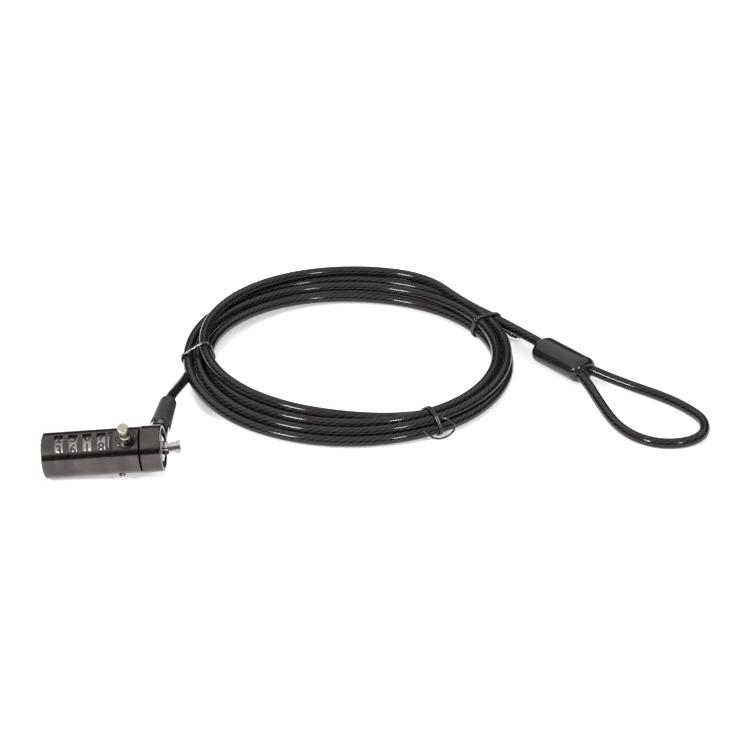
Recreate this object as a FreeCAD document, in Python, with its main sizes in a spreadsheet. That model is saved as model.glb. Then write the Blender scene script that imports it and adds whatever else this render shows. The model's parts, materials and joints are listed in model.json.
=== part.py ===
"""Laptop cable lock: a four-dial barrel lock on a coiled, loop-ended steel cable.

Every head piece is drawn in the lock's own axes: X runs along the barrel from its outer
end to the nose, Z points at the dial windows. One placement then lays the lock on its
outer end, with the swivel end lifted a little by the springy cable.
"""
import FreeCAD, Part
import math
import os
import re

import Sketcher
from FreeCAD import Placement, Rotation, Vector

SIZES = {
    # lock barrel
    "body_radius": 9.4, "body_len": 39.4, "body_edge": 0.5,
    "chamber_radius": 8.4, "chamber_end": 28.2, "mech_start": 30.0, "mech_radius": 4.5,
    "cap_start": 0.3, "cap_end": 2.6, "cap_bore_start": 0.9,
    "window_width": 3.7, "window_height": 8.0, "window_floor": 6.0,
    "slot_width": 1.9, "slot_floor": 7.9, "slot_pos": 28.4,
    # dials and code hubs
    "dial_first": 7.3, "dial_pitch": 5.75, "dial_width": 4.6, "dial_radius": 8.2,
    "dial_bore": 5.4, "hub_radius": 5.34, "hub_width": 4.3, "hub_bore": 1.75,
    "gate_width": 1.5, "gate_radius": 3.2, "dial_edge": 0.35,
    "key_radius": 0.55, "key_gap": 0.08, "digits": 10,
    "washer_outer": 8.36, "washer_inner": 5.65, "washer_thick": 0.75,
    "bump_radius": 0.35, "bump_height": 0.15, "bump_ring": 7.0,
    "disc_outer": 7.6, "disc_inner": 5.7, "disc_thick": 0.35, "disc_rise": 0.9, "disc_start": 3.4,
    # spindle
    "rod_radius": 1.6, "rod_start": 3.4, "rod_end": 33.6, "slide_radius": 2.4,
    "fork_start": 40.2, "fork_end": 44.3, "fork_gap": 3.2, "bore_gap": 0.1,
    "lug_radius": 3.0, "lug_width": 1.2, "lug_len": 1.1, "lug_gap": 0.15,
    "ramp_top": 34.3, "ramp_foot": 37.8, "notch_end": 38.9, "notch_floor": 1.1,
    "seat_inner": 1.7, "seat_outer": 2.46, "seat_start": 28.5, "seat_slot": 2.6,
    "coil_wire": 0.4, "spring_radius": 2.05, "spring_end": 33.5, "spring_turns": 3,
    "drive_pin_radius": 0.5, "drive_pin_pos": 43.4, "drive_pin_len": 4.4,
    # push button
    "button_pos": 34.9, "travel": 2.2, "button_radius": 2.3, "button_top": 18.4,
    "flange_radius": 2.58, "flange_bottom": 9.2, "flange_top": 9.95, "stem_radius": 1.5,
    "wedge_top": 3.4, "wedge_tip": 1.3, "button_edge": 0.6, "neck_radius": 2.0,
    "neck_start": 12.1, "neck_end": 13.4, "button_head": 14.0,
    "spring_floor": 5.0, "well_radius": 2.65, "stem_hole": 1.6, "button_spring_radius": 2.1,
    "button_turns": 2,
    "bezel_seat": 8.4, "bezel_radius": 4.25, "bezel_step": 10.1, "bezel_upper": 3.3,
    "bezel_top": 11.7, "lip_bottom": 10.05, "lip_radius": 2.38, "bezel_edge": 0.3,
    # reset screw
    "reset_pos": 31.0, "reset_angle": 118.6, "reset_shank": 1.0, "reset_head": 1.35,
    "reset_bottom": 5.2, "reset_shoulder": 8.5, "reset_top": 10.3, "reset_slot": 0.4,
    "reset_slot_depth": 0.5, "reset_gap": 0.05,
    # nose
    "guide_start": 37.2, "guide_end": 48.3, "snout_end": 50.4, "snout_radius": 2.7,
    "jaw_slot": 3.2, "jaw_slot_start": 40.0, "jaw_slot_height": 5.8, "guide_bore_end": 44.5,
    "ring_groove": 47.5, "ring_width": 0.6, "groove_radius": 4.1, "ring_outer": 5.3,
    "pivot_pos": 45.6, "pivot_radius": 0.6, "jaw_thick": 1.45, "jaw_gap": 0.05,
    "jaw_open": 5.5, "jaw_width": 2.0, "jaw_tip": 10.0, "jaw_tail": 5.1, "tail_width": 2.8,
    "lip_height": 0.4, "lip_len": 2.2, "pin_slot": 1.3, "pin_clear": 0.04,
    # swivel collar
    "collar_start": 39.6, "collar_end": 48.4, "collar_radius": 9.65, "collar_front": 9.45,
    "collar_edge": 0.8, "collar_lip": 0.35, "collar_bore": 4.56, "recess_start": 46.5,
    "recess_radius": 8.0, "disc_washer": 7.4, "disc_washer_thick": 0.8,
    # cable socket and sleeve
    "socket_pos": 44.0, "socket_tilt": 2.6, "socket_drop": 2.0, "socket_hole": 2.2,
    "socket_inner": 5.4, "boss_start": 7.6, "boss_end": 14.6, "boss_root": 4.35, "boss_tip": 4.2,
    "flange_out": 4.1, "flange_end": 17.2, "barrel_start": 18.0, "barrel_radius": 3.45,
    "barrel_end": 22.0, "cable_depth": 4.0, "sleeve_start": 19.8, "sleeve_end": 41.5,
    "sleeve_radius": 4.4, "sleeve_front": 3.1, "sleeve_round": 1.4,
    # cable
    "cable_dia": 4.4, "coil_radius": 64.7, "coil_x": 91.0, "coil_y": 95.9, "coil_z": 6.55,
    "bundle_width": 13.2, "bundle_height": 10.7,
    "tie_gap": 0.06, "tie_wire": 1.1, "tie_width": 1.3, "twist_dia": 1.4, "twist_len": 9.0,
    # ferrule at the eye loop
    "ferrule_x": 171.9, "ferrule_y": 108.0, "ferrule_z": 5.7, "ferrule_turn": -47.2,
    "ferrule_len": 29.0, "ferrule_width": 13.8, "ferrule_height": 11.3, "ferrule_round": 3.4,
    "crimp_len": 20.5, "crimp_width": 10.4, "crimp_height": 6.2,
    # where the lock lies
    "axis_x": -27.2, "axis_y": -1.8, "axis_z": 9.3, "lift": 6.0, "roll": 31.0,
}

NUMBER_OF_DIALS = 4
LEAD_TIE, BACK_TIE, FRONT_TIE = 186.0, 30.0, -55.5     # degrees round the coil
SPARE_GATE_TURN = 90.0                                 # a second hub slot, between two digits

doc = FreeCAD.newDocument("cable_lock")
sheet = doc.addObject("Spreadsheet::Sheet", "dims")
for row, (alias, number) in enumerate(SIZES.items(), start=1):
    sheet.set(f"A{row}", alias)
    sheet.set(f"B{row}", str(number))
    sheet.setAlias(f"B{row}", alias)
doc.recompute()


def cells(formula):
    """The formula with each size name pointed at the sheet."""
    return re.sub(r"\b([a-z][a-z0-9_]*)\b(?!\()", r"dims.\1", str(formula))


def size(formula):
    """The formula's present value, in millimetres or degrees."""
    return float(sheet.evalExpression(cells(formula)))


HEAD = Placement(
    Vector(size("axis_x"), size("axis_y"), size("axis_z")),
    Rotation(0, -size("lift"), size("roll")),
)
LEVEL_HEAD = Placement(HEAD.Base, Rotation(0, -size("lift"), 0))


# ---------------------------------------------------------------- drawing helpers

def bind(thing, **formulas):
    for prop, formula in formulas.items():
        thing.setExpression(prop, cells(formula))


def new_body(label):
    body = doc.addObject("PartDesign::Body", label)
    body.Label = label
    return body


def new_sketch(body, name, role="XY_Plane", offset=None):
    sketch = body.newObject("Sketcher::SketchObject", name)
    plane = next(f for f in body.Origin.OriginFeatures if f.Role == role)
    sketch.AttachmentSupport = (plane, [""])
    sketch.MapMode = "FlatFace"
    if offset is not None:
        sketch.setExpression("AttachmentOffset.Base.z", cells(offset))
    return sketch


def fix_point(sketch, geo, end, u, v):
    """Pins one end of an edge to the two formulas."""
    for kind, formula in (("DistanceX", u), ("DistanceY", v)):
        spot = sketch.addConstraint(Sketcher.Constraint(kind, -1, 1, geo, end, size(formula)))
        sketch.setExpression(f"Constraints[{spot}]", cells(formula))


def add_polygon(sketch, corners):
    """A closed outline with each corner at a pair of formulas."""
    places = [Vector(size(u), size(v), 0) for u, v in corners]
    first = sketch.GeometryCount
    for start, end in zip(places, places[1:] + places[:1]):
        sketch.addGeometry(Part.LineSegment(start, end), False)
    for number, (u, v) in enumerate(corners):
        fix_point(sketch, first + number, 1, u, v)
        following = first + (number + 1) % len(corners)
        sketch.addConstraint(Sketcher.Constraint("Coincident", first + number, 2, following, 1))


def add_circle(sketch, u, v, radius):
    centre = Vector(size(u), size(v), 0)
    geo = sketch.addGeometry(Part.Circle(centre, Vector(0, 0, 1), size(radius)), False)
    fix_point(sketch, geo, 3, u, v)
    spot = sketch.addConstraint(Sketcher.Constraint("Radius", geo, size(radius)))
    sketch.setExpression(f"Constraints[{spot}]", cells(radius))


def turned(label, outline, placement=HEAD):
    """A body of revolution about X, from (position, radius) corners."""
    body = new_body(label)
    sketch = new_sketch(body, label + "_profile")
    add_polygon(sketch, outline)
    solid = body.newObject("PartDesign::Revolution", label + "_turned")
    solid.Profile = sketch
    solid.ReferenceAxis = (sketch, ["H_Axis"])
    solid.Angle = 360
    body.Placement = placement
    doc.recompute()
    return body


def cut(body, sketch, depth, forwards=False):
    """Pockets the sketch down from its plane, and checks that it took material away."""
    before = body.Shape.Volume
    pocket = body.newObject("PartDesign::Pocket", sketch.Name + "_cut")
    pocket.Profile = sketch
    pocket.Reversed = forwards
    bind(pocket, Length=depth)
    doc.recompute()
    if not body.Shape.Volume < before - 1e-4:
        raise RuntimeError(f"{pocket.Name} cut nothing")
    return pocket


def slab(body, name, corners, low, high):
    """Cuts the outline out of the body between two heights."""
    sketch = new_sketch(body, name, offset=high)
    add_polygon(sketch, corners)
    return cut(body, sketch, f"({high}) - ({low})")


def drill(body, name, u, v, radius, low, high):
    sketch = new_sketch(body, name, offset=high)
    add_circle(sketch, u, v, radius)
    return cut(body, sketch, f"({high}) - ({low})")


def rectangle(u, v, width, height):
    return [
        (f"({u}) + ({du}) * ({width}) / 2", f"({v}) + ({dv}) * ({height}) / 2")
        for du, dv in ((-1, -1), (1, -1), (1, 1), (-1, 1))
    ]


def feature(label, shape, placement=None):
    item = doc.addObject("Part::Feature", label)
    item.Label = label
    item.Shape = shape
    if placement is not None:
        item.Placement = placement
    return item


def along(placement, distance):
    """The placement moved along its own X axis."""
    return placement.multiply(Placement(Vector(distance, 0, 0), Rotation()))


# ---------------------------------------------------------------- lock barrel

def make_housing():
    body = turned("housing", [
        ("0", "chamber_radius"), ("0", "body_radius - body_edge"), ("body_edge", "body_radius"),
        ("body_len", "body_radius"), ("body_len", "mech_radius"), ("mech_start", "mech_radius"),
        ("mech_start", "seat_outer + 0.02"), ("chamber_end", "seat_outer + 0.02"),
        ("chamber_end", "chamber_radius"),
    ])
    top = "body_radius + 1"
    for number in range(NUMBER_OF_DIALS):
        middle = f"dial_first + {number} * dial_pitch"
        slab(body, f"window_{number + 1}", rectangle(middle, "0", "window_width", "window_height"),
             "window_floor", top)
    slab(body, "index_slot", rectangle("slot_pos", "0", "slot_width", "window_height"),
         "slot_floor", top)
    drill(body, "bezel_pocket", "button_pos", "0", "bezel_radius + 0.02", "bezel_seat", top)
    drill(body, "spring_well", "button_pos", "0", "well_radius", "spring_floor", top)
    drill(body, "stem_bore", "button_pos", "0", "stem_hole", "0", top)
    for name, radius, low in (
        ("reset_bore", "reset_shank + reset_gap", "reset_bottom - 0.2"),
        ("reset_pocket", "reset_head + reset_gap", "reset_shoulder - reset_gap"),
    ):
        sketch = new_sketch(body, name)
        add_circle(sketch, "reset_pos", "0", radius)
        spin = Placement(Vector(), Rotation(Vector(1, 0, 0), size("reset_angle")))
        lift = Placement(Vector(0, 0, size(top)), Rotation())
        sketch.AttachmentOffset = spin.multiply(lift)
        cut(body, sketch, f"{top} - ({low})")
    return body


def make_end_cap():
    return turned("end_cap", [
        ("cap_start", "0"), ("cap_start", "chamber_radius - 0.3"),
        ("cap_start + 0.3", "chamber_radius - 0.01"), ("cap_end", "chamber_radius - 0.01"),
        ("cap_end", "rod_radius + bore_gap"), ("cap_bore_start", "rod_radius + bore_gap"),
        ("cap_bore_start", "0"),
    ])


# ---------------------------------------------------------------- dials and hubs

def make_dial(number):
    """A number ring with ten key notches in its bore, drawn about its own middle."""
    place = along(HEAD, size(f"dial_first + {number} * dial_pitch"))
    half = "dial_width / 2"
    body = turned(f"dial_{number + 1}", [
        (f"-{half}", "dial_bore"), (f"-{half}", "dial_radius - dial_edge"),
        (f"dial_edge - {half}", "dial_radius"), (f"{half} - dial_edge", "dial_radius"),
        (half, "dial_radius - dial_edge"), (half, "dial_bore"),
    ], place)
    sketch = new_sketch(body, f"dial_{number + 1}_notch", "YZ_Plane", f"{half} + 1")
    add_circle(sketch, "0", "dial_bore", "key_radius + key_gap")
    notch = cut(body, sketch, "dial_width + 2")
    ring = body.newObject("PartDesign::PolarPattern", f"dial_{number + 1}_notches")
    ring.Originals = [notch]
    ring.Axis = (next(f for f in body.Origin.OriginFeatures if f.Role == "X_Axis"), [""])
    ring.Angle = 360
    bind(ring, Occurrences="digits")
    body.Tip = ring
    doc.recompute()
    return body


def make_hub(number):
    """A code hub: a key that fits one dial notch, and the gate its spindle lug slides into.

    The second gate lies a quarter turn away, half-way between two digits.
    """
    place = along(HEAD, size(f"dial_first + {number} * dial_pitch"))
    half = "hub_width / 2"
    body = turned(f"code_hub_{number + 1}", [
        (f"-{half}", "hub_bore"), (f"-{half}", "hub_radius"), (half, "hub_radius"), (half, "hub_bore"),
    ], place)
    sketch = new_sketch(body, f"hub_{number + 1}_key", "YZ_Plane", f"-{half}")
    add_circle(sketch, "0", "dial_bore - 0.1", "key_radius - 0.05")
    key = body.newObject("PartDesign::Pad", f"hub_{number + 1}_key_pad")
    key.Profile = sketch
    bind(key, Length="hub_width")
    doc.recompute()
    for gate, turn in (("gate", 180.0), ("spare_gate", 180.0 - SPARE_GATE_TURN)):
        sketch = new_sketch(body, f"hub_{number + 1}_{gate}", "YZ_Plane")
        add_polygon(sketch, rectangle("0", "(hub_bore + gate_radius) / 2 - 0.3", "gate_width",
                                      "gate_radius - hub_bore + 0.6"))
        face = Placement(Vector(0, 0, size(f"{half} + 1")), Rotation(Vector(0, 0, 1), turn))
        sketch.AttachmentOffset = face
        cut(body, sketch, "hub_width + 2")
    return body


def make_detent_washers():
    """The thin washers between neighbouring dials, each with one click bump."""
    rings = []
    for number in range(NUMBER_OF_DIALS):
        middle = size(f"dial_first + ({number} + 0.5) * dial_pitch")
        thick = size("washer_thick")
        axis = Vector(1, 0, 0)
        start = Vector(middle - thick / 2, 0, 0)
        ring = Part.makeCylinder(size("washer_outer"), thick, start, axis)
        ring = ring.cut(Part.makeCylinder(size("washer_inner"), thick, start, axis))
        bump = Part.makeCylinder(size("bump_radius"), size("bump_height + 0.1"),
                                 start + Vector(-size("bump_height"), 0, -size("bump_ring")), axis)
        rings.append(ring.fuse(bump).removeSplitter())
    return feature("detent_washers", Part.makeCompound(rings), HEAD)


def make_disc_spring():
    return turned("disc_spring", [
        ("disc_start + disc_rise", "disc_inner"), ("disc_start", "disc_outer"),
        ("disc_start + disc_thick", "disc_outer"), ("disc_start + disc_rise + disc_thick", "disc_inner"),
    ])


# ---------------------------------------------------------------- spindle and springs

def make_spindle():
    """Rod with four lugs, a ramp for the button's wedge and a fork for the jaws."""
    body = turned("spindle", [
        ("rod_start", "0"), ("rod_start", "rod_radius"), ("rod_end", "rod_radius"),
        ("rod_end", "slide_radius"), ("fork_end", "slide_radius"), ("fork_end", "0"),
    ])
    for number in range(NUMBER_OF_DIALS):
        start = f"dial_first + {number} * dial_pitch + hub_width / 2 + lug_gap"
        sketch = new_sketch(body, f"lug_{number + 1}", "YZ_Plane", start)
        add_polygon(sketch, rectangle("0", "-lug_radius / 2", "lug_width", "lug_radius"))
        lug = body.newObject("PartDesign::Pad", f"lug_{number + 1}_pad")
        lug.Profile = sketch
        bind(lug, Length="lug_len")
        doc.recompute()
    ramp = new_sketch(body, "ramp", "XZ_Plane", "slide_radius + 1")
    add_polygon(ramp, [
        ("ramp_top - 1", "slide_radius + 1"), ("ramp_foot", "-notch_floor"),
        ("notch_end", "-notch_floor"), ("notch_end", "slide_radius + 1"),
    ])
    cut(body, ramp, "2 * slide_radius + 2")
    slab(body, "fork_slot", rectangle("fork_start + 3", "0", "6", "2 * slide_radius + 1"),
         "-fork_gap / 2", "fork_gap / 2")
    pin_hole = "drive_pin_radius + 0.01"
    drill(body, "fork_pin_hole", "drive_pin_pos", "0", pin_hole, "-slide_radius - 1", "slide_radius + 1")
    return body


def make_drive_pin():
    """The cross pin that joins the spindle's fork to both jaws."""
    pin = doc.addObject("Part::Cylinder", "drive_pin")
    bind(pin, Radius="drive_pin_radius", Height="drive_pin_len")
    pin.Placement = HEAD.multiply(Placement(
        Vector(size("drive_pin_pos"), 0, -size("drive_pin_len") / 2), Rotation()))
    return pin


def coil_spring(label, radius, length, turns, placement):
    """An open helical spring along Z from the placement's origin."""
    wire = size("coil_wire")
    helix = Part.makeHelix(length / turns, length, radius)
    section = Part.Wire(Part.makeCircle(wire / 2, Vector(radius, 0, 0), Vector(0, 1, 0)))
    solid = Part.Wire(helix).makePipeShell([section], True, True)
    return feature(label, solid, placement)


def make_spindle_spring():
    wire = size("coil_wire")
    start, end = size("mech_start") + wire, size("spring_end") - wire
    place = HEAD.multiply(Placement(Vector(start, 0, 0), Rotation(Vector(0, 1, 0), 90)))
    return coil_spring("spindle_spring", size("spring_radius"), end - start,
                       size("spring_turns"), place)


def make_button_spring():
    wire = size("coil_wire")
    floor, top = size("spring_floor") + wire, size("flange_bottom") - wire
    place = HEAD.multiply(Placement(Vector(size("button_pos"), 0, floor), Rotation()))
    return coil_spring("button_spring", size("button_spring_radius"), top - floor,
                       size("button_turns"), place)


def make_spring_seat():
    """The C-washer that the spindle spring rests on, open on its far side."""
    body = turned("spring_seat", [
        ("seat_start", "seat_inner"), ("seat_start", "seat_outer"),
        ("mech_start", "seat_outer"), ("mech_start", "seat_inner"),
    ])
    slab(body, "seat_opening", rectangle("mech_start", "seat_outer", "4", "2 * seat_outer"),
         "-seat_slot / 2", "seat_slot / 2")
    return body


# ---------------------------------------------------------------- button and reset screw

def upright(label, outline, place):
    """A body turned about Z, from (radius, height) corners."""
    body = new_body(label)
    sketch = new_sketch(body, label + "_profile", "XZ_Plane")
    add_polygon(sketch, outline)
    solid = body.newObject("PartDesign::Revolution", label + "_turned")
    solid.Profile = sketch
    solid.ReferenceAxis = (sketch, ["V_Axis"])
    solid.Angle = 360
    body.Placement = place
    doc.recompute()
    return body


def at_button():
    return along(HEAD, size("button_pos"))


def make_bezel():
    return upright("button_bezel", [
        ("well_radius", "bezel_seat"), ("bezel_radius", "bezel_seat"),
        ("bezel_radius", "bezel_step - bezel_edge"), ("bezel_radius - bezel_edge", "bezel_step"),
        ("bezel_upper", "bezel_step"), ("bezel_upper", "bezel_top - bezel_edge"),
        ("bezel_upper - bezel_edge", "bezel_top"), ("lip_radius", "bezel_top"),
        ("lip_radius", "lip_bottom"), ("well_radius", "lip_bottom"),
    ], at_button())


def make_button():
    body = upright("push_button", [
        ("0", "wedge_tip"), ("stem_radius", "wedge_tip"), ("stem_radius", "flange_bottom"),
        ("flange_radius", "flange_bottom"), ("flange_radius", "flange_top"),
        ("button_radius", "flange_top"), ("button_radius", "neck_start"),
        ("neck_radius", "neck_start + 0.4"), ("neck_radius", "neck_end"),
        ("button_radius", "button_head"), ("button_radius", "button_top - button_edge"),
        ("button_radius - button_edge", "button_top"), ("0", "button_top"),
    ], at_button())
    wedge = new_sketch(body, "wedge", "XZ_Plane", "stem_radius + 1")
    add_polygon(wedge, [
        ("-stem_radius - 1", "wedge_tip - 1"), ("-stem_radius - 1", "wedge_top + 1"),
        ("wedge_top - wedge_tip - stem_radius", "wedge_tip"),
        ("wedge_top - wedge_tip - stem_radius", "wedge_tip - 1"),
    ])
    cut(body, wedge, "2 * stem_radius + 2")
    return body


def make_reset_screw():
    spin = Rotation(Vector(1, 0, 0), size("reset_angle"))
    place = along(HEAD, size("reset_pos")).multiply(Placement(Vector(), spin))
    body = upright("reset_screw", [
        ("0", "reset_bottom"), ("reset_shank", "reset_bottom"), ("reset_shank", "reset_shoulder"),
        ("reset_head", "reset_shoulder"), ("reset_head", "reset_top - 0.4"),
        ("reset_head - 0.5", "reset_top"), ("0", "reset_top"),
    ], place)
    slab(body, "screwdriver_slot", rectangle("0", "0", "4", "reset_slot"),
         "reset_top - reset_slot_depth", "reset_top + 1")
    return body


# ---------------------------------------------------------------- nose, jaws and collar

def make_nose_guide():
    body = turned("nose_guide", [
        ("guide_start", "slide_radius + bore_gap"), ("guide_start", "mech_radius - 0.01"),
        ("ring_groove", "mech_radius - 0.01"), ("ring_groove", "groove_radius"),
        ("ring_groove + ring_width", "groove_radius"),
        ("ring_groove + ring_width", "mech_radius - 0.01"), ("guide_end", "mech_radius - 0.01"),
        ("guide_end", "snout_radius"), ("snout_end", "snout_radius"), ("snout_end", "0"),
        ("guide_bore_end", "0"), ("guide_bore_end", "slide_radius + bore_gap"),
    ])
    slab(body, "jaw_slot_cut",
         rectangle("jaw_slot_start + 6", "0", "12", "jaw_slot_height"),
         "-jaw_slot / 2", "jaw_slot / 2")
    drill(body, "pivot_hole", "pivot_pos", "0", "pivot_radius + 0.01",
          "-mech_radius - 1", "mech_radius + 1")
    return body


def make_jaw(label, side):
    """One prong, drawn closed along X from its pivot and swung open by the placement."""
    body = new_body(label)
    low = "jaw_gap" if side > 0 else "-jaw_gap - jaw_thick"
    tip = f"{side} * (jaw_width / 2 + lip_height)"
    near, far = f"{side} * jaw_width / 2", f"{-side} * jaw_width / 2"
    tail_near, tail_far = f"{side} * tail_width / 2", f"{-side} * tail_width / 2"
    sketch = new_sketch(body, label + "_outline", offset=low)
    add_polygon(sketch, [
        ("-jaw_tail", tail_far), ("1.6", tail_far), ("2.4", far), ("jaw_tip - 0.3", far),
        ("jaw_tip", f"{side} * jaw_width / 4"), ("jaw_tip", tip), ("jaw_tip - lip_len + 0.5", tip),
        ("jaw_tip - lip_len", near), ("2.4", near), ("1.6", tail_near), ("-jaw_tail", tail_near),
    ])
    plate = body.newObject("PartDesign::Pad", label + "_plate")
    plate.Profile = sketch
    bind(plate, Length="jaw_thick")
    doc.recompute()
    drill(body, label + "_pivot_hole", "0", "0", "pivot_radius + pin_clear", "-2", "2")
    rest, pressed = "pivot_pos - drive_pin_pos", "pivot_pos - drive_pin_pos + travel"
    inner = (f"-({rest}) * cos(jaw_open) + 0.65", f"{side} * ({rest}) * sin(jaw_open)")
    outer = (f"-({pressed}) - 0.75", "0")
    half = "pin_slot / 2"
    slot = new_sketch(body, label + "_cam_slot", offset="2")
    add_polygon(slot, [
        (outer[0], f"-{half}"), (inner[0], f"{inner[1]} - {half}"),
        (inner[0], f"{inner[1]} + {half}"), (outer[0], half),
    ])
    cut(body, slot, "4")
    swing = Placement(Vector(size("pivot_pos"), 0, 0),
                      Rotation(Vector(0, 0, 1), side * size("jaw_open")))
    body.Placement = HEAD.multiply(swing)
    return body


def make_jaw_pin():
    pin = doc.addObject("Part::Cylinder", "jaw_pin")
    bind(pin, Radius="pivot_radius", Height="2 * mech_radius - 0.6")
    pin.Placement = HEAD.multiply(Placement(
        Vector(size("pivot_pos"), 0, -size("mech_radius - 0.3")), Rotation()))
    return pin


def make_front_washer():
    return turned("front_washer", [
        ("recess_start + 0.1", "mech_radius + 0.02"), ("recess_start + 0.1", "disc_washer"),
        ("recess_start + disc_washer_thick", "disc_washer"),
        ("recess_start + disc_washer_thick", "mech_radius + 0.02"),
    ])


def make_retaining_ring():
    """The C-clip in the nose guide's groove, open on one side."""
    body = turned("retaining_ring", [
        ("ring_groove + 0.03", "groove_radius + 0.01"), ("ring_groove + 0.03", "ring_outer"),
        ("ring_groove + ring_width - 0.03", "ring_outer"),
        ("ring_groove + ring_width - 0.03", "groove_radius + 0.01"),
    ])
    slab(body, "ring_opening", rectangle("ring_groove", "ring_outer", "4", "4"), "-2.4", "2.4")
    return body


def make_collar():
    body = turned("swivel_collar", [
        ("collar_start", "collar_bore"), ("collar_start", "collar_radius - collar_edge"),
        ("collar_start + collar_edge", "collar_radius"), ("collar_end - collar_lip", "collar_front"),
        ("collar_end", "collar_front - collar_lip"), ("collar_end", "recess_radius"),
        ("recess_start", "recess_radius"), ("recess_start", "collar_bore"),
    ], LEVEL_HEAD)
    upright_axes = Rotation(Vector(0, 1, 0), 90)
    boss = body.newObject("PartDesign::AdditiveCone", "cable_boss")
    boss.Placement = socket_axes().multiply(Placement(Vector(size("boss_start"), 0, 0), upright_axes))
    bind(boss, Radius1="boss_root", Radius2="boss_tip", Height="boss_end - boss_start")
    doc.recompute()
    outside = "boss_end + 1"
    sketch = new_sketch(body, "socket_bore")
    add_circle(sketch, "0", "0", "socket_hole")
    face = Placement(Vector(size(outside), 0, 0), upright_axes)
    sketch.AttachmentOffset = socket_axes().multiply(face)
    cut(body, sketch, f"{outside} - (socket_inner - 0.02)")
    return body


def socket_axes():
    """The socket's axes in the collar's: X leaves the back, leaning to the nose and down."""
    aim = Rotation(90 - size("socket_tilt"), size("socket_drop"), 0)
    return Placement(Vector(size("socket_pos"), 0, 0), aim)


def socket_place():
    return LEVEL_HEAD.multiply(socket_axes())


def make_socket():
    return turned("cable_socket", [
        ("socket_inner", "0"), ("socket_inner", "socket_hole - 0.01"),
        ("boss_end", "socket_hole - 0.01"), ("boss_end", "flange_out"),
        ("flange_end", "flange_out"), ("barrel_start", "barrel_radius"),
        ("barrel_end", "barrel_radius"), ("barrel_end", "cable_dia / 2"),
        ("barrel_end - cable_depth", "cable_dia / 2"), ("barrel_end - cable_depth", "0"),
    ], socket_place())


def make_sleeve():
    return turned("cable_sleeve", [
        ("sleeve_start", "barrel_radius"), ("sleeve_start", "sleeve_radius - 0.4"),
        ("sleeve_start + 0.4", "sleeve_radius"), ("sleeve_end - sleeve_round", "sleeve_front + 0.5"),
        ("sleeve_end", "sleeve_front - 0.6"), ("sleeve_end", "cable_dia / 2"),
        ("barrel_end", "cable_dia / 2"), ("barrel_end", "barrel_radius"),
    ], socket_place())


# ---------------------------------------------------------------- cable

def rounded_path(points):
    """Straight runs joined by tangent arcs, each as large as its shorter run allows."""
    edges = []
    radii = []
    here = points[0]
    for before, corner, after in zip(points, points[1:], points[2:]):
        back = (before - corner)
        ahead = (after - corner)
        reach = 0.45 * min(back.Length, ahead.Length)
        turn = math.pi - back.getAngle(ahead)
        radii.append(reach / math.tan(turn / 2))
        back.normalize()
        ahead.normalize()
        arc_start = corner + back * reach
        arc_end = corner + ahead * reach
        inward = back + ahead
        inward.normalize()
        to_centre = math.hypot(reach, radii[-1])
        middle = corner + inward * (to_centre - radii[-1])
        edges.append(Part.LineSegment(here, arc_start).toShape())
        edges.append(Part.Arc(arc_start, middle, arc_end).toShape())
        here = arc_end
    edges.append(Part.LineSegment(here, points[-1]).toShape())
    return Part.Wire(edges), radii


def make_tube(label, points):
    """A length of cable along the hand-laid route."""
    path, radii = rounded_path([Vector(*point) for point in points])
    radius = size("cable_dia") / 2
    first = path.Edges[0]
    heading = first.tangentAt(first.FirstParameter)
    start = first.valueAt(first.FirstParameter)
    section = Part.Wire(Part.makeCircle(radius, start, heading))
    solid = path.makePipeShell([section], True, False)
    expected = math.pi * radius ** 2 * path.Length
    print(f"{label}: length {path.Length:.1f}, volume ratio {solid.Volume / expected:.4f}, radii",
          " ".join(f"{value:.0f}" for value in radii))
    if abs(solid.Volume / expected - 1) > 0.01:
        raise RuntimeError(f"{label} has the wrong volume")
    return feature(label, solid)


LEAD_ROUTE = [
    (17.44, 16.17, 13.36), (18.07, 29.2, 12.97), (18.74, 43.6, 12.4), (20.0, 56.2, 9.4),
    (21.6, 70.2, 5.9), (23.0, 84.2, 3.0), (26.0, 98.2, 3.9),
]
TAIL_ROUTE = [
    (122.0, 150.6, 9.0), (138.0, 142.4, 8.6), (151.6, 131.6, 7.2), (164.5, 119.2, 6.3),
    (176.66, 106.61, 5.7),
]
LOOP_ROUTE = [
    (190.58, 91.56, 5.7), (200.2, 86.0, 4.1), (211.5, 80.8, 2.4), (224.0, 72.6, 2.25),
    (233.6, 63.4, 2.25), (240.4, 53.2, 2.25), (240.0, 41.2, 2.25), (232.2, 33.8, 2.25),
    (220.6, 32.5, 2.25), (210.4, 38.2, 2.25), (202.8, 49.2, 2.3), (196.6, 66.2, 3.0),
    (191.2, 81.2, 4.8), (186.83, 88.1, 5.7),
]


def make_coil():
    """The wound cable as one closed ring of its outer shape."""
    section = Part.Ellipse(Vector(), size("bundle_width / 2"), size("bundle_height / 2"))
    edge = section.toShape()
    edge.rotate(Vector(), Vector(1, 0, 0), 90)
    edge.translate(Vector(size("coil_radius"), 0, 0))
    ring = Part.Face(Part.Wire(edge)).revolve(Vector(), Vector(0, 0, 1), 360)
    place = Placement(Vector(size("coil_x"), size("coil_y"), size("coil_z")), Rotation())
    return feature("cable_coil", ring, place)


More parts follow.
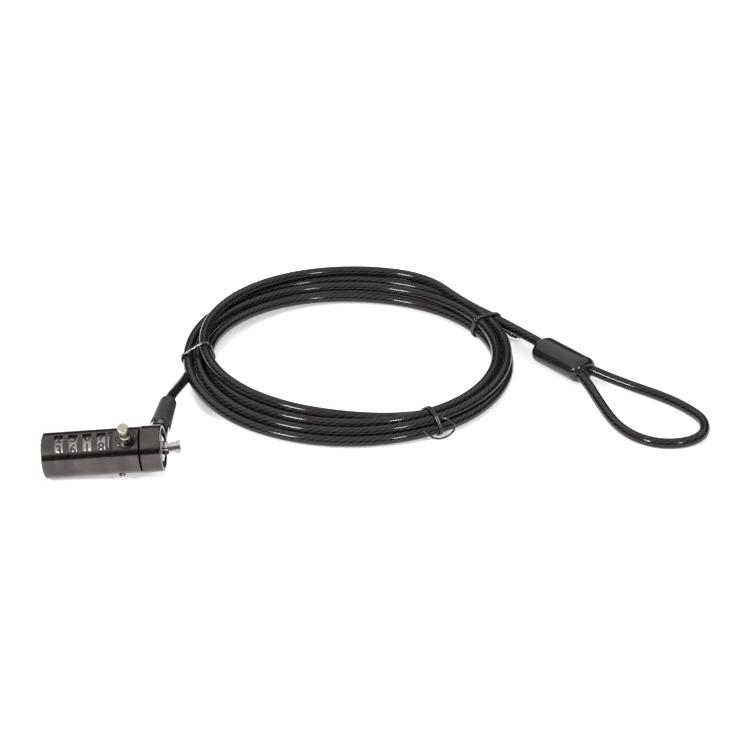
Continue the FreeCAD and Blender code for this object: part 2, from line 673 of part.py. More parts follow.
def make_tie(label, angle, twist_len):
    """A band of tie wire round the coil's turns, with its two ends twisted together."""
    inner_w, inner_h = size("bundle_width / 2 + tie_gap"), size("bundle_height / 2 + tie_gap")
    wire, width = size("tie_wire"), size("tie_width")

    def oval(half_w, half_h):
        edge = Part.Ellipse(Vector(), half_w, half_h).toShape()
        return Part.Face(Part.Wire(edge)).extrude(Vector(0, 0, width))

    band = oval(inner_w + wire, inner_h + wire).cut(oval(inner_w, inner_h))
    if twist_len:
        twist = Part.makeCylinder(size("twist_dia") / 2, twist_len,
                                  Vector(inner_w + wire / 2, 0, width / 2), Vector(1, 0, 0))
        band = band.fuse(twist).removeSplitter()
    upright_band = Placement(Vector(size("coil_radius"), width / 2, 0),
                             Rotation(Vector(1, 0, 0), 90))
    centre = Placement(Vector(size("coil_x"), size("coil_y"), size("coil_z")),
                       Rotation(Vector(0, 0, 1), angle))
    return feature(label, band, centre.multiply(upright_band))


def ferrule_place():
    return Placement(Vector(size("ferrule_x"), size("ferrule_y"), size("ferrule_z")),
                     Rotation(size("ferrule_turn"), 0, 0))


def oval_bar(width, height, length, start):
    """A bar along X with a flattened round section."""
    half_w, half_h = width / 2, height / 2
    flat = half_w - half_h
    right = Part.makeCylinder(half_h, length, Vector(start, -flat, 0), Vector(1, 0, 0))
    left = Part.makeCylinder(half_h, length, Vector(start, flat, 0), Vector(1, 0, 0))
    middle = Part.makeBox(length, 2 * flat, height, Vector(start, -flat, -half_h))
    return right.fuse([middle, left]).removeSplitter()


def make_ferrule(cables):
    """The moulded cover round the eye loop's crimp, with rounded ends, and the crimp in it."""
    length, crimp_len = size("ferrule_len"), size("crimp_len")
    crimp_start = (length - crimp_len) / 2
    outline = Part.Ellipse(Vector(), size("ferrule_width / 2"), size("ferrule_height / 2")).toShape()
    outline.Placement = Placement(Vector(), Rotation(Vector(0, 1, 0), Vector(0, 0, 1), Vector(1, 0, 0)))
    cover = Part.Face(Part.Wire(outline)).extrude(Vector(length, 0, 0))
    ends = [edge for edge in cover.Edges
            if abs(edge.BoundBox.XMax - edge.BoundBox.XMin) < 1e-6]
    cover = cover.makeFillet(size("ferrule_round"), ends)
    crimp = oval_bar(size("crimp_width"), size("crimp_height"), crimp_len, crimp_start)
    cover = cover.cut(crimp)
    cover.Placement = ferrule_place()
    for cable in cables:
        cover = cover.cut(cable.Shape)
    feature("ferrule_cover", cover)
    feature("crimp_ferrule", crimp, ferrule_place())


def make_cable():
    make_tube("cable_lead", LEAD_ROUTE)
    tail = make_tube("cable_tail", TAIL_ROUTE)
    loop = make_tube("cable_eye_loop", LOOP_ROUTE)
    make_coil()
    make_tie("tie_left", LEAD_TIE, 0)
    make_tie("tie_back", BACK_TIE, size("twist_len"))
    make_tie("tie_front", FRONT_TIE, size("twist_len"))
    make_ferrule((tail, loop))


# ---------------------------------------------------------------- build and write

def main():
    make_housing()
    make_end_cap()
    for number in range(NUMBER_OF_DIALS):
        make_dial(number)
        make_hub(number)
    make_detent_washers()
    make_disc_spring()
    make_spindle()
    make_drive_pin()
    make_spindle_spring()
    make_button_spring()
    make_spring_seat()
    make_bezel()
    make_button()
    make_reset_screw()
    make_nose_guide()
    make_jaw("jaw_upper", 1)
    make_jaw("jaw_lower", -1)
    make_jaw_pin()
    make_front_washer()
    make_retaining_ring()
    make_collar()
    make_socket()
    make_sleeve()
    make_cable()
    doc.recompute()

    for item in doc.Objects:
        if "Invalid" in item.State or "Error" in item.State:
            raise RuntimeError(f"{item.Name} failed: {item.State}")
    nodes = [item for item in doc.Objects
             if item.TypeId in ("PartDesign::Body", "Part::Feature", "Part::Cylinder")]
    os.makedirs("parts", exist_ok=True)
    for item in nodes:
        if item.Shape.isNull() or not item.Shape.isValid():
            raise RuntimeError(f"{item.Label} has no sound shape")
        item.Shape.exportStep(f"parts/{item.Label}.step")
    print(len(nodes), "nodes")


main()
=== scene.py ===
"""The looks of the laptop cable lock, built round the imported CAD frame.

Blender works in metres. Lists of places are in millimetres, and MM turns them into metres.
"""

import json
import math

import bmesh
import bpy
from mathutils import Matrix, Vector


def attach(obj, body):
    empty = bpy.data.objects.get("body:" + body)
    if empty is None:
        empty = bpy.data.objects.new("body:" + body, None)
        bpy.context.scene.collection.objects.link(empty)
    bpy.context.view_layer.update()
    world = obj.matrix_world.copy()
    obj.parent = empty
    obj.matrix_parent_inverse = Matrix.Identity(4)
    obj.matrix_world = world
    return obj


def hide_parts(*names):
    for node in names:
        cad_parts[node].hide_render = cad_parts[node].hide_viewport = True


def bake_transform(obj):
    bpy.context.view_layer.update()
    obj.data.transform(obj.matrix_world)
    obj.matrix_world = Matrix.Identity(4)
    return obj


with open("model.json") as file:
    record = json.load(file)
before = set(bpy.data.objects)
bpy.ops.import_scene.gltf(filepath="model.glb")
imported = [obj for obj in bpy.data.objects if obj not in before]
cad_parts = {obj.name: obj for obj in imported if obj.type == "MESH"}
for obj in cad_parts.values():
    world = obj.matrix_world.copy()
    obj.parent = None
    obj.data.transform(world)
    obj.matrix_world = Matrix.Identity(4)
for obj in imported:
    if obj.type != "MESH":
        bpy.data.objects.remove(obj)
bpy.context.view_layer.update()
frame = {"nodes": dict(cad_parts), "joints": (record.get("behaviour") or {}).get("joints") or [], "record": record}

MM = 0.001
ROOT = "cable_side"
JOINTS = {joint["name"]: joint for joint in frame["joints"]}

# The lock in millimetres, as in the CAD: places along its own X axis, and radii
FIRST_DIAL = 7.3
DIAL_PITCH = 5.75
DIAL_RADIUS = 8.2
BUTTON_POS = 34.9
SPRING_WIRE = 0.2

# The cable, its coil and the radius of the ties' wire
CABLE_RADIUS = 2.2 * MM
TIE_WIRE = 0.45 * MM
COIL_CENTRE = Vector((91.0, 95.9, 0.0)) * MM
COIL_RADIUS = 64.7 * MM
POINTS_PER_TURN = 16

# The cable's routes in millimetres, as in the CAD but for the points that overlap the coil
LEAD_ROUTE = [
    (17.44, 16.17, 13.36), (18.07, 29.2, 12.97), (18.74, 43.6, 12.4), (20.0, 56.2, 9.4),
    (21.6, 70.2, 5.9), (23.0, 84.2, 3.0),
]
TAIL_ROUTE = [
    (138.0, 142.4, 8.6), (151.6, 131.6, 7.2), (164.5, 119.2, 6.3), (176.66, 106.61, 5.7),
]
LOOP_ROUTE = [
    (190.58, 91.56, 5.7), (200.2, 86.0, 4.1), (211.5, 80.8, 2.4), (224.0, 72.6, 2.25),
    (233.6, 63.4, 2.25), (240.4, 53.2, 2.25), (240.0, 41.2, 2.25), (232.2, 33.8, 2.25),
    (220.6, 32.5, 2.25), (210.4, 38.2, 2.25), (202.8, 49.2, 2.3), (196.6, 66.2, 3.0),
    (191.2, 81.2, 4.8), (186.83, 88.1, 5.7),
]

# Where each turn of the coil lies in the bundle: millimetres out from the mean radius and
# up from the floor, at every eighth of a turn from the left, clockwise from above.
TURNS = [
    [(0.6, 2.7), (2.6, 3.2), (4.4, 3.4), (3.6, 3.4),
     (2.6, 3.4), (4.2, 3.4), (5.0, 3.4), (5.5, 4.0)],
    [(4.9, 7.3), (5.4, 7.4), (4.2, 7.6), (3.0, 7.4),
     (1.9, 7.4), (1.6, 6.6), (1.2, 5.6), (1.4, 6.0)],
    [(0.5, 8.2), (-0.2, 7.4), (-0.4, 6.6), (-1.6, 7.2),
     (-2.5, 7.4), (-2.4, 7.4), (-2.6, 7.6), (-2.6, 8.0)],
    [(-3.9, 7.2), (-4.6, 5.4), (-4.5, 3.4), (-3.6, 3.4),
     (-2.1, 3.4), (-4.8, 4.2), (-6.2, 9.6), (-5.4, 11.0)],
    [(-1.6, 11.6), (3.6, 11.8), (7.0, 10.8)],
]
WHOLE_TURNS = 4
COIL_START = 184.0      # degrees round from +X where the first turn begins
TAIL_LEAVES = 66.0      # and where the tail leaves the coil

# The ties' loose ends: millimetres out from the coil's centre, along the coil and up
BACK_TIE_END = [
    (71.0, 0.0, 6.0), (74.0, -2.5, 2.6), (74.2, -7.0, 1.6), (76.0, -10.0, 1.4), (79.0, -11.2, 1.6),
]
FRONT_TIE_LOOP = [
    (72.2, -9.3, 6.8), (73.6, -6.5, 3.4), (73.7, -3.1, 1.4), (73.7, 1.5, 1.2), (73.6, 4.6, 2.6),
    (73.2, 5.8, 5.4), (72.0, 2.8, 8.6), (70.6, 0.3, 9.2),
]

CAMERA_PLACE = Vector((161.6, -1139.7, 665.9)) * MM
CAMERA_TARGET = Vector((101.5, 90.3, 0.0)) * MM
CAMERA_LENS = 157.25


# ---------------------------------------------------------------- the lock's own axes

def head_axes():
    """The lock's axes: X along the barrel from its outer end, Z towards the dial windows."""
    along = Vector(JOINTS["head_swivel"]["axis"]).normalized()
    up = Vector(JOINTS["button_press"]["axis"]).normalized()
    across = up.cross(along)
    matrix = Matrix((along, across, up)).transposed().to_4x4()
    matrix.translation = Vector(JOINTS["dial_1_turn"]["pos_m"]) - along * FIRST_DIAL * MM
    return matrix


HEAD = head_axes()


def on_head(place):
    """A place in the lock's own axes and millimetres, moved into the frame."""
    return HEAD @ (Vector(place) * MM)


# ---------------------------------------------------------------- mesh helpers

def make_object(name, verts, faces, body, uvs=None):
    """A smooth-shaded mesh piece riding on the body, or on none. uvs gives one (u, v) per corner."""
    mesh = bpy.data.meshes.new(name)
    mesh.from_pydata([tuple(v) for v in verts], [], faces)
    if uvs is not None:
        layer = mesh.uv_layers.new(name="along")
        for spot, uv in zip(layer.data, uvs):
            spot.uv = uv
    mesh.validate()
    for face in mesh.polygons:
        face.use_smooth = True
    piece = bpy.data.objects.new(name, mesh)
    bpy.context.scene.collection.objects.link(piece)
    if body is not None:
        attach(piece, body)
    return piece


def frames_along(points, closed=False):
    """A twist-free pair of side directions at every point."""
    count = len(points)
    tangents = []
    for i in range(count):
        before = points[i - 1] if closed or i else points[0]
        after = points[(i + 1) % count] if closed or i + 1 < count else points[-1]
        tangents.append((after - before).normalized())
    side = tangents[0].orthogonal().normalized()
    pairs = []
    for tangent in tangents:
        side = (side - tangent * side.dot(tangent)).normalized()
        pairs.append((side, tangent.cross(side)))
    return pairs


def tube(name, points, radius, body, sides=20, closed=False):
    """A round tube along the points, with capped ends unless it is closed."""
    pairs = frames_along(points, closed)
    verts = []
    for point, (side, other) in zip(points, pairs):
        for k in range(sides):
            turn = 2 * math.pi * k / sides
            verts.append(point + (side * math.cos(turn) + other * math.sin(turn)) * radius)
    distances = [0.0]
    for a, b in zip(points, points[1:]):
        distances.append(distances[-1] + (b - a).length)
    faces, uvs = [], []
    rings = len(points) if closed else len(points) - 1
    for ring in range(rings):
        following = (ring + 1) % len(points)
        low = distances[ring] / MM
        high = low + (points[following] - points[ring]).length / MM
        for k in range(sides):
            k2 = (k + 1) % sides
            faces.append((ring * sides + k, ring * sides + k2,
                          following * sides + k2, following * sides + k))
            left, right = k / sides, (k + 1) / sides
            uvs += [(left, low), (right, low), (right, high), (left, high)]
    if not closed:
        last = (len(points) - 1) * sides
        faces.append(tuple(reversed(range(sides))))
        faces.append(tuple(range(last, last + sides)))
        uvs += [(0.0, 0.0)] * (2 * sides)
    return make_object(name, verts, faces, body, uvs)


def nurbs_points(controls, detail, closed=False):
    """Points read from the smooth NURBS line that the route steers."""
    curve = bpy.data.curves.new("route", "CURVE")
    curve.dimensions = "3D"
    spline = curve.splines.new("NURBS")
    spline.points.add(len(controls) - 1)
    for spot, control in zip(spline.points, controls):
        spot.co = (*control, 1.0)
    spline.order_u = 3
    if closed:
        spline.use_cyclic_u = True
    else:
        spline.use_endpoint_u = True
    spline.resolution_u = detail
    holder = bpy.data.objects.new("route", curve)
    mesh = bpy.data.meshes.new_from_object(holder)
    points = [vertex.co.copy() for vertex in mesh.vertices]
    bpy.data.objects.remove(holder)
    bpy.data.curves.remove(curve)
    bpy.data.meshes.remove(mesh)
    return points


def lathe(name, outline, body, base):
    """A surface turned about the base's Z axis, from (radius, height) corners in millimetres."""
    segments = 48
    verts, faces = [], []
    for radius, height in outline:
        for k in range(segments):
            turn = 2 * math.pi * k / segments
            spot = Vector((radius * math.cos(turn), radius * math.sin(turn), height)) * MM
            verts.append(base @ spot)
    for ring in range(len(outline) - 1):
        for k in range(segments):
            k2 = (k + 1) % segments
            faces.append((ring * segments + k, ring * segments + k2,
                          (ring + 1) * segments + k2, (ring + 1) * segments + k))
    faces.append(tuple(reversed(range(segments))))
    last = (len(outline) - 1) * segments
    faces.append(tuple(range(last, last + segments)))
    return make_object(name, verts, faces, body)


def sharpen(piece):
    """Smooth shading stays only where neighbouring faces meet at under 30 degrees."""
    piece.data.set_sharp_from_angle(angle=math.radians(30))


# ---------------------------------------------------------------- materials

class Shader:
    """A new material with its Principled shader and short ways to add nodes."""

    def __init__(self, name, colour, roughness, metallic=0.0, coat=0.0):
        self.material = bpy.data.materials.new(name)
        self.material.use_nodes = True
        self.nodes = self.material.node_tree.nodes
        self.links = self.material.node_tree.links
        self.main = self.nodes["Principled BSDF"]
        self.main.inputs["Base Color"].default_value = (*colour, 1.0)
        self.main.inputs["Roughness"].default_value = roughness
        self.main.inputs["Metallic"].default_value = metallic
        self.main.inputs["Coat Weight"].default_value = coat
        self.main.inputs["Coat Roughness"].default_value = 0.06

    def add(self, kind, **values):
        node = self.nodes.new(kind)
        for key, value in values.items():
            if key in node.inputs:
                node.inputs[key].default_value = value
            else:
                setattr(node, key, value)
        return node

    def link(self, source, target):
        self.links.new(source, target)

    def noise(self, scale, detail=4.0):
        node = self.add("ShaderNodeTexNoise", Scale=scale, Detail=detail)
        place = self.add("ShaderNodeTexCoord")
        self.link(place.outputs["Object"], node.inputs["Vector"])
        return node.outputs["Fac"]

    def ramp(self, factor, low, high, start=0.3, end=0.7):
        node = self.add("ShaderNodeValToRGB")
        node.color_ramp.elements[0].position = start
        node.color_ramp.elements[0].color = (*low, 1.0)
        node.color_ramp.elements[1].position = end
        node.color_ramp.elements[1].color = (*high, 1.0)
        self.link(factor, node.inputs["Fac"])
        return node.outputs["Color"]

    def span(self, factor, low, high):
        node = self.add("ShaderNodeMapRange")
        node.inputs["To Min"].default_value = low
        node.inputs["To Max"].default_value = high
        self.link(factor, node.inputs["Value"])
        return node.outputs["Result"]

    def bump(self, height, strength, distance):
        node = self.add("ShaderNodeBump", Strength=strength, Distance=distance)
        self.link(height, node.inputs["Height"])
        self.link(node.outputs["Normal"], self.main.inputs["Normal"])


def black_nickel():
    """Dark mirror plating over a cast barrel, with faint ripples and cloudy wear."""
    shader = Shader("black_nickel", (0.08, 0.07, 0.068), 0.16, metallic=1.0)
    cloud = shader.noise(160.0)
    shader.link(shader.ramp(cloud, (0.060, 0.052, 0.050), (0.095, 0.084, 0.081)),
                shader.main.inputs["Base Color"])
    shader.link(shader.span(shader.noise(420.0), 0.10, 0.24), shader.main.inputs["Roughness"])
    shader.bump(shader.noise(230.0, 2.0), 0.10, 0.0004)
    return shader.material


def metal(name, low, high, rough_low, rough_high):
    """Machined or plated metal with fine tonal variation."""
    scale = 700.0
    shader = Shader(name, high, rough_low, metallic=1.0)
    shader.link(shader.ramp(shader.noise(scale), low, high), shader.main.inputs["Base Color"])
    shader.link(shader.span(shader.noise(scale * 1.7), rough_low, rough_high),
                shader.main.inputs["Roughness"])
    shader.bump(shader.noise(scale * 2.5, 3.0), 0.06, 0.0001)
    return shader.material


def moulded(name, low, high, rough_low, rough_high, coat=0.0, grain=1500.0, depth=0.05):
    """Moulded black rubber or plastic with a fine grain."""
    shader = Shader(name, high, rough_low, coat=coat)
    shader.main.inputs["Specular IOR Level"].default_value = 0.34
    shader.link(shader.ramp(shader.noise(grain / 5), low, high), shader.main.inputs["Base Color"])
    shader.link(shader.span(shader.noise(grain / 2), rough_low, rough_high),
                shader.main.inputs["Roughness"])
    shader.bump(shader.noise(grain, 3.0), depth, 0.0001)
    return shader.material


def cable_vinyl():
    """Smoke-tinted glossy vinyl, through which the twisted steel rope just shows."""
    strands = 7.0
    lay = 23.0      # millimetres along the cable for one whole turn of a strand
    shader = Shader("cable_vinyl", (0.012, 0.010, 0.010), 0.13)
    shader.main.inputs["Specular IOR Level"].default_value = 0.28
    place = shader.add("ShaderNodeUVMap", uv_map="along").outputs["UV"]
    parts = shader.add("ShaderNodeSeparateXYZ")
    shader.link(place, parts.inputs[0])
    around = shader.add("ShaderNodeMath", operation="MULTIPLY")
    around.inputs[1].default_value = strands
    shader.link(parts.outputs["X"], around.inputs[0])
    phase = shader.add("ShaderNodeMath", operation="MULTIPLY_ADD")
    phase.inputs[1].default_value = strands / lay
    shader.link(parts.outputs["Y"], phase.inputs[0])
    shader.link(around.outputs[0], phase.inputs[2])
    cycle = shader.add("ShaderNodeMath", operation="PINGPONG")
    cycle.inputs[1].default_value = 0.5
    shader.link(phase.outputs[0], cycle.inputs[0])
    mixed = shader.add("ShaderNodeMath", operation="MULTIPLY_ADD")
    mixed.inputs[1].default_value = 1.5
    shader.link(cycle.outputs[0], mixed.inputs[0])
    shader.link(shader.span(shader.noise(900.0, 3.0), -0.25, 0.25), mixed.inputs[2])
    gap, crest = (0.003, 0.0025, 0.0025), (0.023, 0.0175, 0.017)
    shader.link(shader.ramp(mixed.outputs[0], gap, crest, 0.15, 0.85),
                shader.main.inputs["Base Color"])
    return shader.material


MATERIALS = {
    "black_nickel": black_nickel(),
    "dial_silver": metal("dial_silver", (0.19, 0.175, 0.165), (0.34, 0.32, 0.30), 0.26, 0.42),
    "brass_parts": metal("brass_parts", (0.55, 0.40, 0.20), (0.72, 0.56, 0.30), 0.25, 0.40),
    "steel_parts": metal("steel_parts", (0.45, 0.45, 0.46), (0.62, 0.63, 0.64), 0.25, 0.40),
    "bright_steel": metal("bright_steel", (0.38, 0.355, 0.35), (0.56, 0.53, 0.52), 0.12, 0.26),
    "button_satin": metal("button_satin", (0.34, 0.31, 0.275), (0.46, 0.43, 0.385), 0.22, 0.36),
    "sleeve_rubber": moulded("sleeve_rubber", (0.020, 0.020, 0.022), (0.035, 0.035, 0.038),
                             0.38, 0.50),
    "cable_vinyl": cable_vinyl(),
    "cover_gloss": moulded("cover_gloss", (0.008, 0.008, 0.009), (0.014, 0.014, 0.015),
                           0.10, 0.18, coat=0.12, grain=800.0, depth=0.03),
    "crimp_alloy": metal("crimp_alloy", (0.50, 0.50, 0.51), (0.66, 0.66, 0.67), 0.30, 0.45),
    "tie_wire": moulded("tie_wire", (0.006, 0.006, 0.007), (0.014, 0.014, 0.015),
                        0.16, 0.26, coat=0.6),
    "digit_ink": moulded("digit_ink", (0.010, 0.009, 0.009), (0.030, 0.027, 0.026), 0.45, 0.60),
}


def finish_as(piece, material):
    """Gives a piece made here its one material."""
    piece.data.materials.append(MATERIALS[material])


def paint_cad_nodes():
    """Every CAD node takes the procedural finish of its slot."""
    for entry in frame["record"]["subparts"]:
        node = frame["nodes"][entry["node"]]
        for spot in node.material_slots:
            spot.material = MATERIALS[entry["material_slot"]]


# ---------------------------------------------------------------- cable

def turn_place(turn, eighth):
    """The turn's place in the bundle, smoothly between its eighth-turn stations."""
    def station(index):
        row, column = divmod(index, 8)
        row = min(max(row, 0), len(TURNS) - 1)
        column = min(column, len(TURNS[row]) - 1)
        return Vector(TURNS[row][column])

    whole = int(math.floor(eighth))
    part = eighth - whole
    index = turn * 8 + whole
    before, here, after, later = (station(max(index + k, 0)) for k in (-1, 0, 1, 2))
    slope_in = (after - before) / 2
    slope_out = (later - here) / 2
    p2, p3 = part ** 2, part ** 3
    return (here * (2 * p3 - 3 * p2 + 1) + slope_in * (p3 - 2 * p2 + part)
            + after * (3 * p2 - 2 * p3) + slope_out * (p3 - p2))


def coil_offset(turned):
    """Where the cable is after so many degrees from the left, clockwise, from the coil's centre."""
    turn, rest = divmod(turned, 360.0)
    out, height = turn_place(int(turn), rest / 45.0)
    azimuth = math.radians(180.0 - turned)
    radius = COIL_RADIUS + out * MM
    return Vector((radius * math.cos(azimuth), radius * math.sin(azimuth), height * MM))


def coil_controls():
    """The coil's turns, pushed out so that the smooth line lies at the stated radius."""
    step = 360.0 / POINTS_PER_TURN
    swell = 1.0 / math.cos(math.radians(step / 2))
    first = 180.0 - COIL_START
    last = WHOLE_TURNS * 360.0 + 180.0 - TAIL_LEAVES
    count = round((last - first) / step)
    controls = []
    for k in range(count + 1):
        spot = coil_offset(first + (last - first) * k / count)
        controls.append(COIL_CENTRE + Vector((spot.x * swell, spot.y * swell, spot.z)))
    return controls


def millimetres(route):
    """A route given in millimetres, in metres."""
    return [Vector(point) * MM for point in route]


def make_cable():
    """The one cable, from the socket round the coil and the eye loop and back to the crimp."""
    controls = millimetres(LEAD_ROUTE) + coil_controls() + millimetres(TAIL_ROUTE + LOOP_ROUTE)
    path = nurbs_points(controls, 12)
    cable = tube("cable", path, CABLE_RADIUS, ROOT)
    finish_as(cable, "cable_vinyl")
    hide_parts("cable_lead", "cable_coil", "cable_tail", "cable_eye_loop")
    return cable, path


# ---------------------------------------------------------------- ties

def hull(points):
    """The convex outline of flat points, anticlockwise."""
    def cross(o, a, b):
        return (a[0] - o[0]) * (b[1] - o[1]) - (a[1] - o[1]) * (b[0] - o[0])

    def half(sequence):
        chain = []
        for point in sequence:
            while len(chain) > 1 and cross(chain[-2], chain[-1], point) <= 0:
                chain.pop()
            chain.append(point)
        return chain[:-1]

    points = sorted(points)
    return half(points) + half(points[::-1])


def tie_axes(azimuth):
    """The level directions out from the coil's centre and along the coil at this azimuth."""
    angle = math.radians(azimuth)
    out = Vector((math.cos(angle), math.sin(angle), 0))
    along = Vector((-math.sin(angle), math.cos(angle), 0))
    return out, along


def strands_at(path, out, along):
    """Where the coil's turns cross the upright plane of a tie: (distance out, height)."""
    bundle_reach = 20 * MM
    places = []
    for a, b in zip(path, path[1:]):
        da, db = (a - COIL_CENTRE).dot(along), (b - COIL_CENTRE).dot(along)
        if da * db > 0 or da == db:
            continue
        spot = a.lerp(b, da / (da - db)) - COIL_CENTRE
        if abs(spot.dot(out) - COIL_RADIUS) < bundle_reach:
            places.append((spot.dot(out), spot.z))
    return places


def tie_end(name, out, along, route, twisted):
    """The loose end of a tie: one wire along the route, or two twisted round it."""
    twists = 3.5
    spine = nurbs_points([COIL_CENTRE + (out * a + along * b + Vector((0, 0, c))) * MM
                          for a, b, c in route], 12)
    apart = TIE_WIRE * 0.9 if twisted else 0.0
    wires = []
    for strand in range(2 if twisted else 1):
        line = []
        for number, (point, (side, other)) in enumerate(zip(spine, frames_along(spine))):
            turn = 2 * math.pi * twists * number / len(spine) + math.pi * strand
            line.append(point + (side * math.cos(turn) + other * math.sin(turn)) * apart)
        wires.append(tube(f"{name}_end_{strand + 1}", line, TIE_WIRE, ROOT, sides=10))
    return wires


def make_tie(name, path, azimuth, end_route, twisted):
    """Two wraps of coated wire drawn tight round the turns, and a loose end where one shows."""
    out, along = tie_axes(azimuth)
    reach = CABLE_RADIUS + TIE_WIRE
    rim = []
    for distance, height in strands_at(path, out, along):
        for k in range(24):
            turn = 2 * math.pi * k / 24
            rim.append((distance + reach * math.cos(turn), height + reach * math.sin(turn)))
    outline = hull(rim)
    pieces = []
    for wrap, shift in enumerate((-1.05 * TIE_WIRE, 1.05 * TIE_WIRE)):
        controls = []
        for number, (distance, height) in enumerate(outline):
            slant = 0.35 * TIE_WIRE * math.sin(2 * math.pi * number / len(outline) + wrap)
            controls.append(COIL_CENTRE + out * distance + along * (shift + slant)
                            + Vector((0, 0, max(height, TIE_WIRE))))
        line = nurbs_points(controls, 4, closed=True)
        pieces.append(tube(f"{name}_wrap_{wrap + 1}", line, TIE_WIRE, ROOT, sides=10, closed=True))
    if end_route:
        pieces += tie_end(name, out, along, end_route, twisted)
    for piece in pieces:
        finish_as(piece, "tie_wire")
    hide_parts(name)
    return pieces


# ---------------------------------------------------------------- dials and button

def flat_digit(digit, height, skin):
    """A bold numeral lying flat, cut into narrow strips so that it can bend. Millimetres."""
    strip = 0.4
    curve = bpy.data.curves.new("digit", "FONT")
    curve.body = str(digit)
    curve.size = height * 1.38
    curve.align_x = "CENTER"
    curve.align_y = "CENTER"
    curve.offset = 0.17
    curve.extrude = skin / 2
    holder = bpy.data.objects.new("digit", curve)
    bpy.context.scene.collection.objects.link(holder)
    bpy.context.view_layer.update()
    shown = holder.evaluated_get(bpy.context.evaluated_depsgraph_get())
    mesh = bpy.data.meshes.new_from_object(shown)
    bpy.data.objects.remove(holder)
    bpy.data.curves.remove(curve)
    shape = bmesh.new()
    shape.from_mesh(mesh)
    for k in range(-5, 6):
        everything = shape.verts[:] + shape.edges[:] + shape.faces[:]
        bmesh.ops.bisect_plane(shape, geom=everything, plane_co=(0, strip * k, 0),
                               plane_no=(0, 1, 0))
    shape.to_mesh(mesh)
    shape.free()
    return mesh


def make_digits():
    """The ten digits round each dial, dark in the silver. At rest each window shows two."""
    height, narrowing = 4.0, 0.96
    skin, lift = 0.06, 0.035
    step = 36.0
    showing = (2, 5, 0, 7)
    for dial in range(4):
        body = f"dial_{dial + 1}_body"
        centre = FIRST_DIAL + DIAL_PITCH * dial
        for digit in range(10):
            mesh = flat_digit(digit, height, skin)
            where = math.radians(step / 2 + step * (showing[dial] - digit))
            verts = []
            for vertex in mesh.vertices:
                turn = where + vertex.co.y / DIAL_RADIUS
                distance = DIAL_RADIUS + lift - skin / 2 + vertex.co.z
                verts.append(on_head((centre + vertex.co.x * narrowing,
                                      distance * math.sin(turn), distance * math.cos(turn))))
            faces = [tuple(face.vertices) for face in mesh.polygons]
            piece = make_object(f"dial_{dial + 1}_digit_{digit}", verts, faces, body)
            sharpen(piece)
            finish_as(piece, "digit_ink")
            bpy.data.meshes.remove(mesh)


def helix(low, high, side, other, radius, turns):
    """A helix round the line from low to high. The two directions are square to that line."""
    steps = 28
    points = []
    for k in range(turns * steps + 1):
        turn = 2 * math.pi * k / steps
        around = (Vector(side) * math.cos(turn) + Vector(other) * math.sin(turn)) * radius
        points.append(Vector(low).lerp(Vector(high), k / (turns * steps)) + around)
    return points


def make_springs():
    """The springs under the button and behind the spindle."""
    x, y, z = (1, 0, 0), (0, 1, 0), (0, 0, 1)
    for name, moving, low, high, side, other, radius, turns in (
        ("button_spring", "button", (BUTTON_POS, 0, 5.4), (BUTTON_POS, 0, 8.8), x, y, 2.1, 2),
        ("spindle_spring", "spindle_body", (30.4, 0, 0), (33.1, 0, 0), y, z, 2.05, 3),
    ):
        line = [on_head(place) for place in helix(low, high, side, other, radius, turns)]
        spring = tube(name, line, SPRING_WIRE * MM, None, sides=10)
        finish_as(spring, "steel_parts")
        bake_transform(spring)
        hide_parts(name)


def make_slot_strip():
    """A black strip of painted shade on the floor of the index slot beside the fourth dial, where the recess falls
    dark.
    """
    middle, half_width, half_height = 28.8, 0.52, 3.9
    bottom, top = 7.93, 8.05
    corners = [on_head((middle + across * half_width, up * half_height, level))
               for level in (bottom, top)
               for across, up in ((-1, -1), (1, -1), (1, 1), (-1, 1))]
    faces = [(3, 2, 1, 0), (4, 5, 6, 7)]
    faces += [(k, (k + 1) % 4, (k + 1) % 4 + 4, k + 4) for k in range(4)]
    strip = make_object("index_slot_shade_strip", corners, faces, "head")
    sharpen(strip)
    # The strip is painted shade: the dark ink stands in for the shadow inside the slot.
    finish_as(strip, "digit_ink")


def make_button():
    """The push button: a round, soft-edged head over a shallow neck and a flanged plunger."""
    stem, flange, neck, head = 1.5, 2.5, 2.0, 2.28
    shoulder, rounding, crown = 17.8, 0.55, 18.39
    outline = [
        (0.0, 3.4), (stem, 3.4), (stem, 9.2), (flange, 9.2), (flange, 9.9), (head, 9.95),
        (head, 12.1), (neck, 12.5), (neck, 13.4), (head, 13.9), (head, shoulder),
    ]
    for k in range(1, 9):
        turn = math.pi / 2 * k / 8
        outline.append((head - rounding + rounding * math.cos(turn),
                        shoulder + rounding * math.sin(turn)))
    outline.append((0.02, crown))
    base = HEAD @ Matrix.Translation(Vector((BUTTON_POS, 0, 0)) * MM)
    button = lathe("push_button_head", outline, "button", base)
    sharpen(button)
    finish_as(button, "button_satin")
    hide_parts("push_button")


# ---------------------------------------------------------------- studio

def make_floor():
    """A wide, pale floor, which glows a little so that shadows on it stay faint."""
    bpy.ops.mesh.primitive_plane_add(size=12.0, location=(0.1, 0.1, -0.0002))
    floor = bpy.context.object
    floor.name = "studio_floor"
    shader = Shader("studio_white", (0.93, 0.93, 0.93), 0.9)
    shader.link(shader.ramp(shader.noise(3.0), (0.925, 0.925, 0.925), (0.935, 0.935, 0.935)),
                shader.main.inputs["Base Color"])
    shader.main.inputs["Specular IOR Level"].default_value = 0.0
    shader.main.inputs["Emission Color"].default_value = (1.0, 1.0, 1.0, 1.0)
    shader.main.inputs["Emission Strength"].default_value = 0.38
    floor.data.materials.append(shader.material)


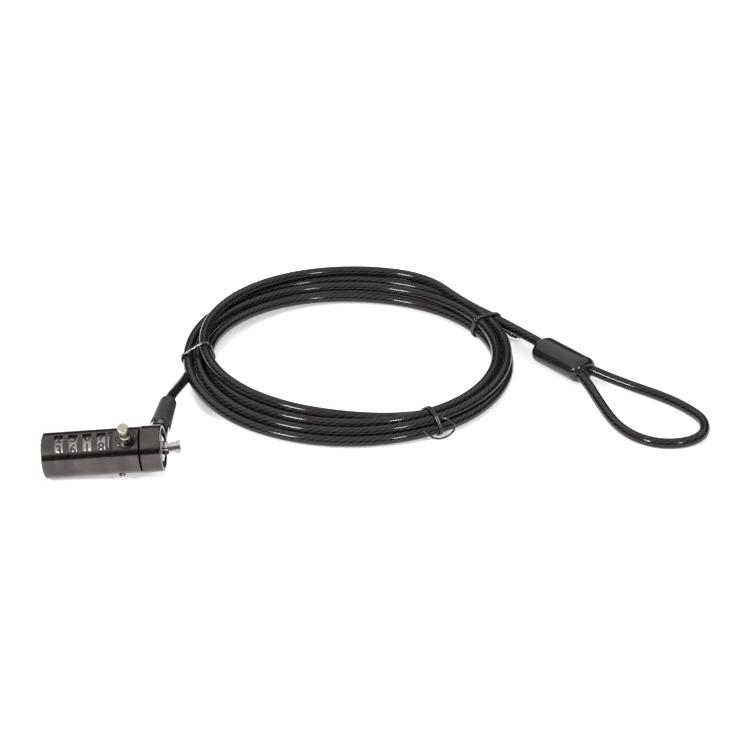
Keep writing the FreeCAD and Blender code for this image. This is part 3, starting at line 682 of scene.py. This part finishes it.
def make_world():
    """Dark low down, where the sides of the metal mirror it, and bright overhead."""
    world = bpy.data.worlds.new("studio")
    world.use_nodes = True
    bpy.context.scene.world = world
    nodes, links = world.node_tree.nodes, world.node_tree.links
    place = nodes.new("ShaderNodeTexCoord")
    parts = nodes.new("ShaderNodeSeparateXYZ")
    ramp = nodes.new("ShaderNodeValToRGB")
    ramp.color_ramp.elements[0].position = 0.40
    ramp.color_ramp.elements[0].color = (0.05, 0.047, 0.046, 1)
    ramp.color_ramp.elements[1].position = 0.60
    ramp.color_ramp.elements[1].color = (1.0, 1.0, 1.0, 1)
    links.new(place.outputs["Generated"], parts.inputs[0])
    links.new(parts.outputs["Z"], ramp.inputs["Fac"])
    links.new(ramp.outputs["Color"], nodes["Background"].inputs["Color"])
    nodes["Background"].inputs["Strength"].default_value = 1.25


def area_light(name, place, width, height, power):
    """A soft box aimed at the middle of the object."""
    target = Vector((0.1, 0.08, 0.0))
    light = bpy.data.lights.new(name, "AREA")
    light.shape = "RECTANGLE"
    light.size = width
    light.size_y = height
    light.energy = power
    lamp = bpy.data.objects.new(name, light)
    lamp.location = place
    lamp.rotation_euler = (target - Vector(place)).to_track_quat("-Z", "Y").to_euler()
    bpy.context.scene.collection.objects.link(lamp)


def make_studio():
    """The floor, the surroundings and two soft boxes in front of the object."""
    bpy.context.scene.view_settings.view_transform = "Standard"
    make_floor()
    make_world()
    area_light("left_box", (-0.85, -1.0, 0.85), 0.42, 0.20, 22)
    area_light("right_box", (0.95, -1.05, 0.80), 0.22, 0.14, 9)


def make_camera():
    camera = bpy.data.cameras.new("camera")
    camera.sensor_width = 36.0
    camera.lens = CAMERA_LENS
    camera.clip_end = 20.0
    view = bpy.data.objects.new("camera", camera)
    view.location = CAMERA_PLACE
    view.rotation_euler = (CAMERA_TARGET - CAMERA_PLACE).to_track_quat("-Z", "Y").to_euler()
    bpy.context.scene.collection.objects.link(view)
    bpy.context.scene.camera = view


# ---------------------------------------------------------------- everything together

def main():
    make_camera()
    paint_cad_nodes()
    cable, path = make_cable()
    ties = make_tie("tie_left", path, 186.0, None, twisted=False)
    ties += make_tie("tie_back", path, 30.0, BACK_TIE_END, twisted=True)
    ties += make_tie("tie_front", path, -55.5, FRONT_TIE_LOOP, twisted=False)
    make_digits()
    make_button()
    make_springs()
    make_slot_strip()
    make_studio()


main()
